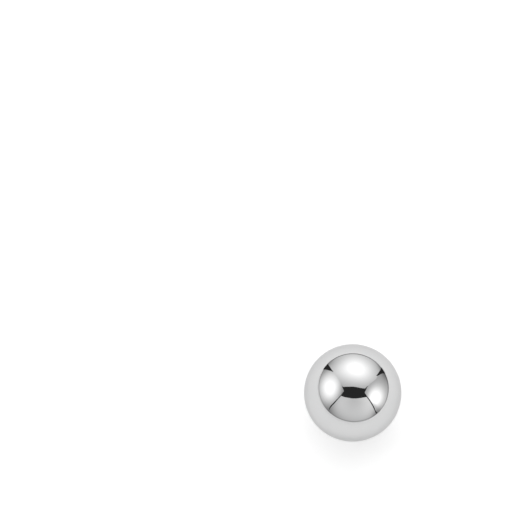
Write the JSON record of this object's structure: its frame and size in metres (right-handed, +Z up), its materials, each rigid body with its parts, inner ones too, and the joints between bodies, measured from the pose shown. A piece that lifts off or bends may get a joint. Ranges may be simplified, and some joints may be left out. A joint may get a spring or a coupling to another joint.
{
  "type": "steel ball",
  "caption": "Plain solid ball of mirror-polished steel, for a bearing, valve seat, detent, socket or weight.",
  "frame": {"origin": "centre of the ball", "axes": "+Z up, through the highest and the lowest point; the ball is alike round every axis, so +X and +Y are free choices"},
  "size_m": [0.01, 0.01, 0.01],
  "materials": {
    "polished_steel": "polished"
  },
  "bodies": {
    "root": {"ball": "polished_steel"}
  },
  "joints": []
}
